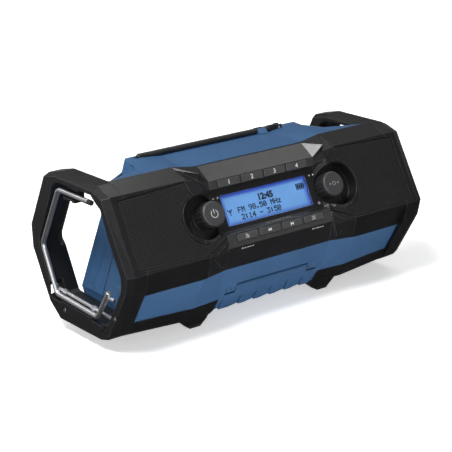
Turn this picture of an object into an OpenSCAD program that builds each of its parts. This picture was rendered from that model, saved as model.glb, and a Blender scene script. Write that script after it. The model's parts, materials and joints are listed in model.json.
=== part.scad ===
// Jobsite radio with two end rings, folding antenna, side hanging hook and slide-on battery.
// Millimetres, +Z up, -Y is the control face, origin under the middle of the body on the ground.

/* [End rings] */
// distance from the middle to the outer face of each end ring
ring_x = 215; // [214:0.5:216]
// diameter of the steel hanging hook rod
hook_rod_d = 6; // [5.6:0.1:6.2]

/* [Controls] */
// outer diameter of the fluted rotary knobs
knob_d = 31; // [29:0.5:31]
// number of flutes around a knob
knob_flutes = 18; // [12:1:20]
// width of one preset button
preset_w = 30.2; // [28:0.2:30.4]
// width of one function button
function_w = 28.6; // [27:0.2:29]
// free travel of a push button
button_travel = 1; // [0.6:0.1:1.2]

/* [Antenna] */
// diameter of the antenna rod
antenna_d = 6.4; // [5.6:0.1:6.6]

/* [Port door] */
// number of grip slots along the port door
door_slots = 5; // [3:1:5]

/* [Feet] */
// height of the soft pads under the feet
pad_h = 3; // [2.6:0.2:3.6]

/* [Hidden] */
$fn = 64;

BLUE = [0.20, 0.36, 0.60];
BLACK = [0.11, 0.11, 0.12];
DARK = [0.17, 0.17, 0.18];
GREY = [0.30, 0.30, 0.32];
STEEL = [0.72, 0.72, 0.74];

// end wall lean: half length 183 at z 43.3 and 122 at z 201.3
lean_a = atan(61 / 158);
// tilt of the speaker faces back from the vertical, and of the display
m_tilt = atan(42.1 / 79);
d_tilt = 27.1;
// knob axis and well axis
knob_x = 87.3;
well_dx = 10.6;
well_r = 26.2;
kr = knob_d / 2;
// hook hinge: centre of the axle, and its slope toward the rear
hx = -(ring_x - 8);
hy = 12.35;
hz = 47.4;
h_slope = 2.825;
hr = hook_rod_d / 2;
// hook rod centre line in the (y, z) plane, from the free end round to the upturned leg
HOOK = [[-26, 172.83], [36.8, 173.3], [79.3, 101], [77.3, 93.5], [54.9, 45.1], [-30.2, 40.9], [-57.1, 77.1]];
// antenna rod axis
ay = 25;
az = 194.8;
ax = 92;
ar = antenna_d / 2;
// port door hinge axis
dy = -71.2;
dz = 49.2;

// outline of the end face of a ring and of its fuller middle
E = [[-56, 181.5], [-38, 187.5], [39, 188.5], [62.5, 184], [98.5, 119.5], [98, 92], [67.5, 34.5], [46, 18.3], [-39.5, 18], [-57.5, 28], [-93.5, 84], [-98.7, 104]];
M = [[-59.5, 183.5], [-37, 192], [40, 192.5], [65, 187], [101.6, 120.5], [101.3, 91], [69.5, 31.5], [47, 15], [-40, 15], [-60, 25.5], [-96.5, 83], [-101.6, 104.5]];
// ring opening at the end face, and flared on the body side
OP = [[-44.5, 176], [-35.4, 183.2], [36, 182.8], [44.5, 178], [83.4, 104], [83.2, 98], [80.9, 91.6], [58.6, 43.7], [55, 41.3], [-31, 37.1], [-55, 38.6], [-84.5, 84.3], [-86.6, 92], [-86.3, 104], [-67.9, 137.6], [-57.5, 159.9], [-53.4, 170.8]];
OQ = [[-44.5, 176], [-35.4, 184.5], [37, 184.1], [48, 178.6], [88.4, 105], [88.2, 98], [82, 91.6], [58.6, 43.7], [55, 41.3], [-31, 37.1], [-55, 38.6], [-84.5, 84.3], [-86.6, 92], [-86.3, 104], [-67.9, 137.6], [-57.5, 159.9], [-53.4, 170.8]];

// heights in the drawing run from 4 mm below the ground
DATUM = 4;

// ---------------------------------------------------------------- helpers

// stands a piece on the ground
module stand() { translate([0, 0, -DATUM]) children(); }

// a (y, z) outline run along x
module yz(pts, x0, x1) {
    translate([x0, 0, 0]) rotate([90, 0, 90]) linear_extrude(x1 - x0) polygon(pts);
}

// skin through outlines given as [x, pts], x falling
module loft(secs) {
    n = len(secs[0][1]);
    m = len(secs);
    polyhedron(
        points = [for (s = secs) for (p = s[1]) [s[0], p[0], p[1]]],
        faces = concat(
            [[for (i = [0:n - 1]) i]],
            [[for (i = [0:n - 1]) (m - 1) * n + n - 1 - i]],
            [for (k = [0:m - 2]) for (i = [0:n - 1]) [k * n + (i + 1) % n, k * n + i, (k + 1) * n + i]],
            [for (k = [0:m - 2]) for (i = [0:n - 1]) [k * n + (i + 1) % n, (k + 1) * n + i, (k + 1) * n + (i + 1) % n]]),
        convexity = 6);
}

// convex solid over a set of corner points
module corners(pts) {
    hull() for (p = pts) translate(p) cube(0.02, center = true);
}

// frames lying on the speaker face and on the display face; local z points out
module on_m(x = 0) { translate([x, -101.6, 104.5]) rotate([90 - m_tilt, 0, 0]) children(); }
module on_k(x = 0) { translate([x, -66, 137.2]) rotate([90 - d_tilt, 0, 0]) children(); }
// frames on the two button rows
module on_preset(x = 0) { translate([x, -61.15, 170.7]) rotate([90 - 16.8, 0, 0]) children(); }
module on_function(x = 0) { translate([x, -91.75, 114.3]) rotate([90 - 17, 0, 0]) children(); }

module both() { children(); mirror([1, 0, 0]) children(); }
module side(s) { if (s < 0) mirror([1, 0, 0]) children(); else children(); }

// everything outside the leaning end walls, inset by g
module lean_cut(g = 0) {
    both() translate([183 - g, -150, 43.3]) rotate([0, -lean_a, 0]) translate([0, 0, -120]) cube([120, 300, 400]);
}

// box with rounded vertical edges, centred in x and y
module rbox(w, d, h, r) {
    linear_extrude(h) {
        square([w - 2 * r, d], center = true);
        square([w, d - 2 * r], center = true);
        for (i = [-1, 1]) for (j = [-1, 1]) translate([i * (w / 2 - r), j * (d / 2 - r)]) circle(r, $fn = 32);
    }
}

function unit(v) = v / norm(v);
// path with each inner corner replaced by a short run of chords of radius R
function bend(p, R, k = 6) = [for (i = [0:len(p) - 1])
    let(a = p[max(i - 1, 0)], b = p[i], c = p[min(i + 1, len(p) - 1)], end = (i == 0 || i == len(p) - 1),
        u = end ? [1, 0] : unit(b - a), v = end ? [1, 0] : unit(c - b),
        t = atan2(u[0] * v[1] - u[1] * v[0], u * v), s = sign(t), d = R * tan(abs(t) / 2),
        o = b - u * d + s * R * [-u[1], u[0]])
    each end ? [b] : [for (j = [0:k]) let(w = t * j / k, q = -s * R * [-u[1], u[0]]) o + [q[0] * cos(w) - q[1] * sin(w), q[0] * sin(w) + q[1] * cos(w)]]];

// round rod along a flat path in the local xy plane
module wire(p, r, n = 28) {
    m = len(p);
    function along(i) = i == 0 ? unit(p[1] - p[0]) : i == m - 1 ? unit(p[i] - p[i - 1]) : unit(unit(p[i] - p[i - 1]) + unit(p[i + 1] - p[i]));
    polyhedron(
        points = [for (i = [0:m - 1]) let(u = along(i)) for (k = [0:n - 1]) let(a = 360 * k / n) [p[i][0] - u[1] * r * cos(a), p[i][1] + u[0] * r * cos(a), r * sin(a)]],
        faces = concat(
            [[for (i = [0:n - 1]) i]],
            [[for (i = [0:n - 1]) (m - 1) * n + n - 1 - i]],
            [for (k = [0:m - 2]) for (i = [0:n - 1]) [k * n + (i + 1) % n, k * n + i, (k + 1) * n + i]],
            [for (k = [0:m - 2]) for (i = [0:n - 1]) [k * n + (i + 1) % n, (k + 1) * n + i, (k + 1) * n + (i + 1) % n]]),
        convexity = 6);
}

// local frame of the hook hinge: y along the axle
module on_hinge() { translate([hx, hy, hz]) rotate([h_slope, 0, 0]) children(); }
function hloc(p) = [(p[0] - hy) * cos(h_slope) + (p[1] - hz) * sin(h_slope), -(p[0] - hy) * sin(h_slope) + (p[1] - hz) * cos(h_slope)];

// ---------------------------------------------------------------- end rings

module ring_solid() {
    difference() {
        loft([[ring_x, E], [ring_x - 9, M], [ring_x - 27, M], [ring_x - 34, E]]);
        loft([[ring_x + 1, OP], [ring_x - 26, OP], [ring_x - 33.9, OQ], [ring_x - 35, OQ]]);
        // seat of the speaker frame behind the front bar
        loft([[190, FB_OUT], [170, FB_OUT]]);
        translate([170, -40, 189.2]) cube([20, 7.9, 12]);
        // pocket that takes the outer end of the grille
        grille_pocket(198.9);
        // seat of the lower front of the body and of the skid
        yz([[-90, 77], [-110, 70], [-75, 5], [-19.3, 5], [-19.3, 40], [-53, 40], [-70, 62]], 170, 190);
        // screw counterbores in the face
        for (p = ring_screw_at) translate([ring_x - 4, p[0], p[1]]) rotate([0, 90, 0]) cylinder(r = 3.2, h = 10, $fn = 48);
        // parting slit at the front bottom corner
        translate([ring_x - 2.5, -41, 26]) rotate([44, 0, 0]) translate([0, -0.7, 0]) cube([10, 1.4, 17]);
    }
}
FB_OUT = [[-70, 62], [-120, 77], [-105.5, 104.5], [-62, 186], [-45, 200], [-36.2, 200], [-36.2, 100]];
ring_screw_at = [[36.5, 32], [-69, 51.5]];
// flat bosses that close the ring opening near the body are left out: the opening is a hand grip

module end_ring_right() { stand() color(BLACK) ring_solid(); }
module end_ring_left() {
    stand() color(BLACK) difference() {
        mirror([1, 0, 0]) ring_solid();
        on_hinge() {
            // trough under the rod
            translate([-6.5, -60, -10.6]) cube([15.5, 126, 14]);
            // swing room under the front bend
            translate([-12, -56, -10.6]) cube([15.5, 22, 14]);
            // swing room at the rear bottom corner
            translate([-20, 30, -10.6]) cube([29, 23.6, 26]);
            // bores for the axle
            translate([0, -78, 0]) rotate([-90, 0, 0]) cylinder(r = 2.02, h = 136, $fn = 48);
        }
        // seats for the hook clip
        translate([-208.6, -0.2, 180]) cube([7.9, 24.4, 6.7]);
    }
}

module ring_screws() {
    stand() color(STEEL) for (s = [-1, 1]) side(s) for (p = ring_screw_at) translate([ring_x - 4, p[0], p[1]]) rotate([0, 90, 0])
        difference() {
            cylinder(r = 2.9, h = 2.6, $fn = 48);
            translate([0, 0, 1.2]) cylinder(r = 1.5, h = 3, $fn = 6);
        }
}

// ---------------------------------------------------------------- speaker frames and grilles

F_OUT = [[-85, 74.3], [-101.6, 104.5], [-59.5, 183.5], [-32.5, 192.8], [-32.5, 153.1], [-74.4, 74.3]];
F_IN = [[-95.6, 78.7], [-101.6, 104.5], [-59.5, 183.5], [-32.5, 192.8], [-32.5, 153.1], [-72.1, 78.7]];
F_VOID = [[-80.5, 81.8], [-87.2, 105.3], [-48, 179], [-39.8, 184.5], [-39.8, 146.5], [-74.2, 81.8]];

// grille outline in the speaker plane: x across, y up the face from the crease
GR = [[198.5, 5], [198.5, 84.2], [109.5, 88], [107.5, 78], [104, 70], [76, 44], [77.5, 15.5], [109, 0.8]];
module grille_shape(e) {
    difference() {
        polygon([for (p = GR) [p[0] + (p[0] > 150 ? e : p[0] > 105 ? 0 : -e), p[1] + (p[1] > 60 ? e : p[1] < 20 ? -e : 0)]]);
        translate([knob_x + well_dx, 42.9]) circle(well_r + 2.4 - e, $fn = 128);
    }
}
module grille_pocket(x1) {
    on_m() translate([0, 0, -5.2]) linear_extrude(12) difference() {
        grille_shape(0.3);
        translate([x1, -20]) square(200);
    }
}
module well(r, h0, h1) { on_k(knob_x + well_dx) translate([0, -0.7, h0]) cylinder(r = r, h = h1 - h0, $fn = 128); }

module frame_solid() {
    difference() {
        union() {
            difference() {
                loft([[189.7, F_OUT], [107.2, F_IN]]);
                loft([[186.5, F_VOID], [110.2, F_VOID]]);
            }
            intersection() {
                loft([[189.7, F_OUT], [107.2, F_IN]]);
                well(well_r + 2.2, -2.6, 30);
            }
        }
        // the back stops at the shells; only a rim lies over them
        translate([100, -36.6, 60]) cube([100, 20, 129.6]);
        well(well_r, 0, 40);
        grille_pocket(300);
        // speaker hole and its seat in the baffle
        on_m(156.6) translate([0, 46, -20]) cylinder(r = 26.5, h = 30, $fn = 96);
        // wire way to the middle of the body
        translate([100, -64, 116]) cube([20, 8, 8]);
        // rear window toward the body
        on_m(128) translate([0, 46, -60]) cylinder(r = 5, h = 26);
    }
}
module front_frame_right() { stand() color(BLACK) frame_solid(); }
module front_frame_left() { stand() color(BLACK) mirror([1, 0, 0]) frame_solid(); }

module grille_solid() {
    on_m() translate([0, 0, -4.9]) difference() {
        linear_extrude(3.4) grille_shape(0);
        // dished back so that the mesh is a thin skin with a rim
        translate([0, 0, -0.1]) linear_extrude(1.9) difference() {
            polygon([[195.5, 8.5], [195.5, 81], [113, 84], [111.5, 72], [113, 15], [113, 4]]);
            translate([knob_x + well_dx, 42.9]) circle(well_r + 5.6, $fn = 96);
        }
    }
}
module speaker_grille_right() { stand() color(BLACK) grille_solid(); }
module speaker_grille_left() { stand() color(BLACK) mirror([1, 0, 0]) grille_solid(); }

// ---------------------------------------------------------------- loudspeakers

module basket() {
    color(DARK) on_m(156.6) translate([0, 46, 0]) difference() {
        union() {
            translate([0, 0, -14.8]) cylinder(r = 29.4, h = 2.2, $fn = 96);
            translate([0, 0, -24.2]) cylinder(r1 = 16, r2 = 27, h = 9.8, $fn = 96);
        }
        translate([0, 0, -22.6]) cylinder(r1 = 15.2, r2 = 26, h = 9.9, $fn = 96);
        translate([0, 0, -14.9]) cylinder(r = 25.4, h = 5, $fn = 96);
        translate([0, 0, -30]) cylinder(r = 9, h = 20);
        for (a = [45:90:315]) rotate([0, 0, a]) translate([20, 0, -25]) cylinder(r = 4, h = 9);
        for (a = [0:90:270]) rotate([0, 0, a]) translate([27.6, 0, -16]) cylinder(r = 1.1, h = 6, $fn = 24);
    }
}
module cone() {
    color([0.08, 0.08, 0.08]) on_m(156.6) translate([0, 46, 0]) rotate_extrude($fn = 96)
        polygon([[0, -16.2], [7, -17.6], [7.4, -18.6], [19, -12.9], [20.6, -11.4], [22.2, -11.1], [23.6, -11.8], [24.4, -13], [25.1, -13], [25.1, -12.3], [24.8, -12.3], [24, -11], [22.2, -10.2], [20.2, -10.5], [18.6, -12], [7.6, -17.3], [7, -16.6], [0, -15.2]]);
}
module magnet() {
    color(STEEL) on_m(156.6) translate([0, 46, 0]) difference() {
        union() {
            translate([0, 0, -34]) cylinder(r = 16, h = 2.4, $fn = 64);
            translate([0, 0, -31.6]) cylinder(r = 18, h = 5.8, $fn = 64);
            translate([0, 0, -25.8]) cylinder(r = 15, h = 1.5, $fn = 64);
        }
        translate([0, 0, -40]) cylinder(r = 4, h = 30, $fn = 32);
    }
}
module speaker_basket_right() { stand() basket(); }
module speaker_basket_left() { stand() mirror([1, 0, 0]) basket(); }
module speaker_cone_right() { stand() cone(); }
module speaker_cone_left() { stand() mirror([1, 0, 0]) cone(); }
module speaker_magnet_right() { stand() magnet(); }
module speaker_magnet_left() { stand() mirror([1, 0, 0]) magnet(); }

// ---------------------------------------------------------------- control panel

PC = [[-87.4, 79], [-94.5, 105], [-93.3, 109.1], [-90.1, 119.6], [-79.3, 119.6], [-55.6, 165.9], [-62.6, 165.9], [-59.7, 175.5], [-39, 188.6], [-36.8, 188.9], [-36.8, 144.8], [-72.2, 78.9]];
PV = [[-84.2, 75], [-84.2, 79], [-91.3, 105], [-90.3, 108.6], [-87.8, 116.6], [-77.4, 116.6], [-50.6, 169], [-58.3, 169], [-57.2, 173.6], [-38.2, 185.5], [-30, 185.6], [-30, 75]];
S76 = [[-87.6, 79], [-94.2, 103], [-92.5, 114], [-79.3, 119.6], [-59, 158.5], [-60.5, 167.6], [-59.7, 175.5], [-39, 188.6], [-36.6, 188.9], [-36.6, 188.6], [-36.8, 188.4], [-36.8, 144.8], [-72.2, 78.9]];
S75 = [[-85.6, 79.4], [-90.2, 103.4], [-88.5, 113], [-76.3, 120.6], [-54, 160.5], [-55, 168.4], [-55.7, 174.5], [-39, 187.2], [-37.4, 187.5], [-37.4, 187.3], [-37.5, 187.1], [-37.4, 144.8], [-72.6, 79.4]];
S91 = [[-91, 79], [-96.4, 103], [-95.2, 112], [-89, 128], [-69, 165], [-65.8, 171.5], [-59.9, 180.1], [-61.2, 188.2], [-34.9, 190.6], [-34.9, 188.6], [-36.8, 188.6], [-36.8, 144.8], [-72.2, 78.9]];
S107 = [[-95.2, 79], [-101, 104.5], [-98, 111.2], [-92, 122.5], [-70, 163.7], [-66, 171], [-59.8, 182.8], [-38.6, 190.9], [-32.7, 192.6], [-32.7, 189.8], [-36.8, 189.8], [-36.8, 144.8], [-72.2, 78.9]];

module control_panel() {
    stand() color(DARK) difference() {
        union() {
            yz(PC, -76, 76);
            both() loft([[106.9, S107], [91, S91], [75.9, S76], [74.6, S75]]);
            // lower wings
            both() corners([[76, -94.3, 113], [78, -95.3, 102], [101, -98.2, 100], [84, -93, 84], [80, -80, 84], [100, -84, 92], [78, -84, 110], [100, -88, 101]]);
        }
        yz(PV, -73, 73);
        // room behind the wells
        both() yz([[-45, 176], [-63.8, 136], [-76, 112], [-76, 74], [-30, 74], [-30, 186], [-40, 186]], 72.9, 104.4);
        both() well(well_r, 0, 60);
        both() grille_pocket(300);
        // window opening
        on_k() translate([-62.2, -16.8, -12]) cube([124.4, 36.6, 30]);
        // button slots
        for (i = [-1.5:1:1.5]) {
            on_preset(i * 32.9) {
                translate([0, 0, -6]) rbox(preset_w + 0.5, 8.9, 10, 1.2);
                translate([0, 0, -8]) rbox(preset_w + 2.4, 8.9, 4.9, 0.8);
            }
            on_function(i * 32.4) {
                translate([0, 0, -6]) rbox(function_w + 0.5, 8.7, 10, 1.2);
                translate([0, 0, -8]) rbox(function_w + 2.6, 8.7, 4.9, 0.8);
            }
        }
        // knob seats and encoder bushings
        both() on_k(knob_x) {
            cylinder(r = kr + 1.4, h = 40, $fn = 96);
            translate([0, 0, -10]) cylinder(r = 5, h = 20, $fn = 48);
        }
    }
}

module lcd_window() {
    stand() color([0.45, 0.62, 0.90, 0.5]) on_k() translate([-61.9, -16.5, 1]) difference() {
        cube([123.8, 36, 2]);
        translate([3, 3, -0.1]) cube([117.8, 30, 0.6]);
    }
}
module lcd_module() {
    stand() color([0.30, 0.45, 0.85]) on_k() {
        translate([-61.5, -16.2, -1.6]) cube([123, 35.4, 2.3]);
        translate([-58, -13, -4.6]) cube([116, 29, 3]);
    }
}
module display_board() {
    stand() color([0.1, 0.3, 0.15]) on_k() difference() {
        translate([-66, -19, -6.6]) cube([132, 41, 1.6]);
        for (i = [-1, 1]) for (j = [-1, 1]) translate([i * 62.5, 1.5 + j * 17.5, -8]) cylinder(r = 1.5, h = 5, $fn = 24);
    }
}

module preset_button(i) {
    color(GREY) on_preset(i * 32.9) {
        translate([0, 0, -3.4]) rbox(preset_w - 0.5, 8, 4.6, 1);
        translate([0, 0, -5.2]) rbox(preset_w + 1.8, 8, 1.8, 0.6);
    }
}
module function_button(i) {
    color(GREY) on_function(i * 32.4) {
        translate([0, 0, -3.4]) rbox(function_w - 0.5, 7.8, 4.6, 1);
        translate([0, 0, -5.2]) rbox(function_w + 1.8, 7.8, 1.8, 0.6);
    }
}
module preset_button_1() { stand() preset_button(-1.5); }
module preset_button_2() { stand() preset_button(-0.5); }
module preset_button_3() { stand() preset_button(0.5); }
module preset_button_4() { stand() preset_button(1.5); }
module function_button_1() { stand() function_button(-1.5); }
module function_button_2() { stand() function_button(-0.5); }
module function_button_3() { stand() function_button(0.5); }
module function_button_4() { stand() function_button(1.5); }

module knob() {
    color(DARK) difference() {
        union() {
            translate([0, 0, 0.9]) cylinder(r = kr - 0.9, h = 15.6, $fn = 96);
            for (k = [0:knob_flutes - 1]) rotate([0, 0, k * 360 / knob_flutes]) translate([kr - 1.5, 0, 1.6]) cylinder(r = 1.45, h = 14.6, $fn = 32);
            translate([0, 0, -6]) cylinder(r = 2.95, h = 8, $fn = 48);
        }
        translate([0, 0, 4]) cylinder(r = 7.05, h = 20, $fn = 64);
    }
}
module cap() {
    color(GREY) {
        translate([0, 0, 17.9]) cylinder(r = kr - 1.0, h = 2.0, $fn = 96);
        translate([0, 0, 19.9]) cylinder(r1 = kr - 1.0, r2 = kr - 2.6, h = 1.1, $fn = 96);
        translate([0, 0, 5.6]) cylinder(r = 7, h = 12.3, $fn = 64);
    }
}
module volume_knob() { stand() on_k(-knob_x) knob(); }
module tuning_knob() { stand() on_k(knob_x) knob(); }
module volume_cap() { stand() on_k(-knob_x) cap(); }
module tuning_cap() { stand() on_k(knob_x) cap(); }
module knob_washers() {
    stand() color(STEEL) both() on_k(knob_x) difference() {
        cylinder(r = kr + 1.0, h = 0.6, $fn = 96);
        translate([0, 0, -1]) cylinder(r = kr - 1.8, h = 3, $fn = 96);
    }
}
module encoder() {
    color(GREY) difference() {
        union() {
            translate([-7, -7, -9.6]) cube([14, 14, 6.8]);
            translate([0, 0, -2.8]) cylinder(r = 4.8, h = 3.2, $fn = 48);
        }
        translate([0, 0, -7]) cylinder(r = 3, h = 20, $fn = 48);
    }
}
module encoder_left() { stand() on_k(-knob_x) encoder(); }
module encoder_right() { stand() on_k(knob_x) encoder(); }

module main_board() {
    stand() color([0.1, 0.3, 0.15]) {
        translate([-95, -30, 48]) cube([190, 1.6, 96]);
        translate([-60, -28.4, 60]) cube([26, 12, 30]);
        translate([20, -28.4, 70]) cube([18, 5, 18]);
        translate([50, -28.4, 56]) cube([14, 14, 20]);
    }
}

// ---------------------------------------------------------------- blue housing

L190 = [[-84.4, 73.8], [-36.4, 73.8], [-36.4, 37.8], [-62.2, 37.8]];
L112 = [[-95.1, 78.1], [-36.4, 78.1], [-36.4, 37.8], [-72.3, 37.8]];
L77 = [[-87.4, 78.7], [-36.4, 78.7], [-36.4, 37.8], [-68.8, 37.8]];
V190 = [[-79.6, 70.8], [-30, 70.8], [-30, 40.8], [-61, 40.8]];
V112 = [[-90.3, 75.1], [-30, 75.1], [-30, 40.8], [-70.6, 40.8]];
V77 = [[-82.8, 75.7], [-30, 75.7], [-30, 44.5], [-60.5, 44.5]];

module front_shell() {
    stand() color(BLUE) difference() {
        union() {
            difference() {
                yz([[-71.4, 79.1], [-36.3, 145.1], [-36.3, 186.1], [6.3, 188.3], [6.3, 37.8], [-40, 37.8], [-71.4, 60]], -190, 190);
                lean_cut();
            }
            both() loft([[189.7, L190], [112, L112], [77, L77], [-1, L77]]);
            // belly under the middle
            yz([[-68.8, 38.2], [-57.5, 22.5], [-47.5, 18.3], [6.3, 18.3], [6.3, 40], [-60, 40]], -73.5, 73.5);
            // hinge bosses of the port door
            both() for (x = [54.2, 61.4]) translate([x, dy, dz]) rotate([0, 90, 0]) cylinder(r = 3.9, h = 4.8, $fn = 48);
        }
        // inside
        difference() {
            yz([[-68, 79], [-32.8, 145.8], [-32.8, 200], [20, 212], [20, 40.8], [-60, 40.8]], -200, 200);
            lean_cut(3.2);
        }
        both() difference() {
            loft([[186.7, V190], [112, V112], [77, V77], [-1, V77]]);
            // rear wall of the lower front beyond the end walls
            intersection() {
                translate([100, -39.4, 30]) cube([100, 12, 60]);
                lean_cut(3.2);
            }
        }
        // open top of the lower front, under the panel
        both() yz([[-82, 70], [-82, 90], [-60, 90], [-60, 70]], -1, 104);
        yz([[-62.5, 45], [-52.5, 24.5], [-46.8, 21.3], [20, 21.3], [20, 45]], -70.5, 70.5);
        // clear of the bottom bar of the ring
        both() translate([180.6, -20.4, 0]) cube([20, 120, 48]);
        // seat of the port door
        yz([[-90, 44.2], [-68.4, 44.2], [-67.4, 42.6], [-54.6, 22.3], [-53.5, 15], [-90, 15]], -67.7, 67.7);
        yz([[-90, 54.4], [-72.2, 54.4], [-71, 49.4], [-67.5, 45], [-66.6, 40], [-90, 40]], -53.2, 53.2);
        translate([-53.2, dy, dz]) rotate([0, 90, 0]) cylinder(r = 4.5, h = 106.4, $fn = 64);
        // port bay through the wall
        yz([[-80, 44], [-50, 44], [-50, 25.5], [-80, 25.5]], -44, 44);
        // bores for the door pins
        both() translate([50, dy, dz]) rotate([0, 90, 0]) cylinder(r = 1.52, h = 18, $fn = 32);
        // vent slots in the bottom
        for (x = [-50:10:50]) translate([x - 1.5, -30, 10]) cube([3, 26, 20]);
        // case screw bores
        for (p = case_screw_at) translate([p[0], 8, p[1]]) rotate([90, 0, 0]) cylinder(r = 1.6, h = 20, $fn = 24);
        // seal groove is the gap between the two shells
    }
}
case_screw_at = [[-60, 30], [60, 30], [-120, 52], [120, 52], [-100, 180], [100, 180]];

module rear_shell() {
    stand() color(BLUE) difference() {
        union() {
            difference() {
                yz([[7.9, 37.8], [7.9, 188.3], [29.1, 188.4], [29.1, 177.3], [45.9, 164.6], [49.4, 161], [51.5, 48.3], [47, 37.8]], -190, 190);
                lean_cut();
                // flutes in the end walls
                both() for (y = [12.5, 29.5]) translate([183 - 1.9, y, 43.3]) rotate([0, -lean_a, 0]) translate([0, 0, 8]) linear_extrude(160) polygon([[0, 0], [4, -1.6], [4, 24]]);
            }
            yz([[7.9, 18.3], [36, 18.3], [40.5, 24.3], [47, 38.2], [7.9, 40]], -73.5, 73.5);
            // foot bands of the end walls
            both() for (k = [0:2]) yz([[7.9, 37.8], [7.9, 46.5 + k * 5.5], [50.8, 46.5 + k * 5.5], [47, 37.8]], 150, 183.8 - k * 0.7 - (k + 1) * 1.8);
        }
        difference() {
            yz([[-20, 40.8], [-20, 220], [25.9, 220], [25.9, 175.9], [43, 162.8], [46.4, 159.6], [48.3, 48.8], [45, 40.8]], -200, 200);
            lean_cut(4);
        }
        yz([[-20, 21.3], [34.5, 21.3], [37.8, 25.6], [44, 42], [-20, 45]], -70.5, 70.5);
        both() translate([180.6, -20.4, 0]) cube([20, 120, 48]);
        for (p = case_screw_at) translate([p[0], 60, p[1]]) rotate([90, 0, 0]) cylinder(r = 1.6, h = 60, $fn = 24);
        // contact window of the battery bay
        translate([-20, 40, 66]) cube([40, 20, 34]);
    }
}

module shell_seal() {
    stand() color([0.05, 0.05, 0.05]) difference() {
        union() {
            difference() { yz([[6.4, 38.8], [6.4, 187.8], [7.8, 187.8], [7.8, 38.8]], -190, 190); lean_cut(1); }
            yz([[6.4, 19.3], [7.8, 19.3], [7.8, 40], [6.4, 40]], -72.5, 72.5);
        }
        difference() { yz([[0, 40.2], [0, 186.2], [20, 186.2], [20, 40.2]], -200, 200); lean_cut(2.6); }
        yz([[0, 20.8], [20, 20.8], [20, 45], [0, 45]], -71, 71);
    }
}

module case_screws() {
    // long screws through bosses from the rear shell into the front shell
    stand() color(STEEL) for (p = [for (q = case_screw_at) if (q[1] < 100) q]) translate([p[0], p[1] < 40 ? 36 : 46, p[1]]) rotate([90, 0, 0]) {
        cylinder(r = 1.5, h = (p[1] < 40 ? 36 : 46) + 10, $fn = 24);
        cylinder(r = 2.8, h = 2, $fn = 32);
    }
}

// roof: flat field, antenna trough behind it, and a buttress over each speaker
TE = [[-35.9, 186.5], [-35.9, 189.3], [16.5, 191.95], [30.5, 193.1], [32.7, 193.6], [31.9, 178.6], [49.5, 165.3], [49.4, 161.4], [46.2, 164.8], [29.4, 177.5], [29.4, 188.7], [8, 188.7]];
// corners of a buttress, right side: top back edge from the trough to the ring
B1 = [111, 28.6, 194.6];
B2 = [114.3, 32.6, 193.8];
B3 = [119.8, 29.8, 192];
B4 = [138, -8, 191.4];
B5 = [159.5, -17, 190.2];
B6 = [180.7, -22.5, 188.8];
// slope from the field (a front, b back) and the trough edge c up to a buttress
module shoulder(a, b, c) {
    t = [[a[0], a[1], 189.27], [b[0], b[1], 191.93], [c[0], c[1], 193.1], B1, [108, -32.2, 192.7]];
    polyhedron(
        points = concat(t, [for (p = t) [p[0], p[1], 188]]),
        faces = [[0, 1, 4], [1, 3, 4], [1, 2, 3], [5, 9, 8, 7, 6],
            [0, 5, 6], [0, 6, 1], [1, 6, 7], [1, 7, 2], [2, 7, 8], [2, 8, 3], [3, 8, 9], [3, 9, 4], [4, 9, 5], [4, 5, 0]]);
}
module top_cover() {
    stand() color(BLUE) difference() {
        union() {
            difference() {
                yz(TE, -190, 190);
                lean_cut();
            }
            both() {
                corners([[107, -32.2, 192.7], [138, -32.2, 192.6], B1, B2, B3, B4, [106, -36.2, 186.6], [128, -36.2, 184], [131, -8, 181], [120, 24, 186], [112, 31, 186]]);
                corners([[138, -32.2, 192.6], [180.7, -32.2, 192.5], B4, B5, B6, [136, -36.2, 185], [180.7, -36.2, 186.4], [180.7, -25, 186], [136, -12, 184]]);
            }
            // sloping shoulders between the field and the buttresses
            shoulder([79, -35.9], [74, 16.5], [98.5, 30.4]);
            mirror([1, 0, 0]) shoulder([92, -35.9], [86, 16.5], [104, 29.2]);
        }
        // clear of the shells below
        difference() {
            yz([[-50, 186.4], [-36.3, 186.4], [7.9, 188.6], [29.3, 188.7], [29.3, 177.4], [46.1, 164.9], [20, 150], [-50, 150]], -190, 190);
            lean_cut(-0.3);
        }
        // clear of the rims of the panel and the speaker frames
        both() {
            translate([0, 0, 186.4]) linear_extrude(12) polygon([[70, -45], [70, -35.9], [76, -35.9], [107.2, -32.2], [107.2, -45]]);
            translate([107, -45, 189.3]) cube([80, 12.8, 12]);
        }
        // trough of the antenna
        translate([-116.4, ay - 4.6, 191.1]) cube([212.8, 9.2, 20]);
        translate([0, 0, 190.9]) linear_extrude(20) polygon([[-86, 16.7], [74, 16.7], [92, ay + 2], [92, ay + 4.8], [-108, ay + 4.8], [-108, ay + 1]]);
    }
}

// ---------------------------------------------------------------- antenna

module antenna_rod() {
    stand() color(BLACK) difference() {
        union() {
            translate([ax - 204, ay, az]) rotate([0, 90, 0]) cylinder(r = ar, h = 190, $fn = 48);
            translate([ax - 205.4, ay, az]) rotate([0, 90, 0]) cylinder(r1 = ar - 1.2, r2 = ar, h = 1.4, $fn = 48);
            translate([ax - 15, ay - 1.9, az - ar]) cube([15, 3.8, 2 * ar]);
            translate([ax, ay - 1.9, az]) rotate([-90, 0, 0]) cylinder(r = ar, h = 3.8, $fn = 48);
        }
        translate([ax, ay - 5, az]) rotate([-90, 0, 0]) cylinder(r = 1.55, h = 10, $fn = 32);
    }
}
module antenna_knuckle() {
    stand() color(BLACK) difference() {
        translate([ax - 3.6, ay - 4.4, az - 3.5]) cube([7.4, 8.8, 6.7]);
        translate([ax - 5, ay - 2.1, az - 5]) cube([10, 4.2, 12]);
        translate([ax, ay - 6, az]) rotate([-90, 0, 0]) cylinder(r = 1.52, h = 12, $fn = 32);
    }
}
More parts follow.
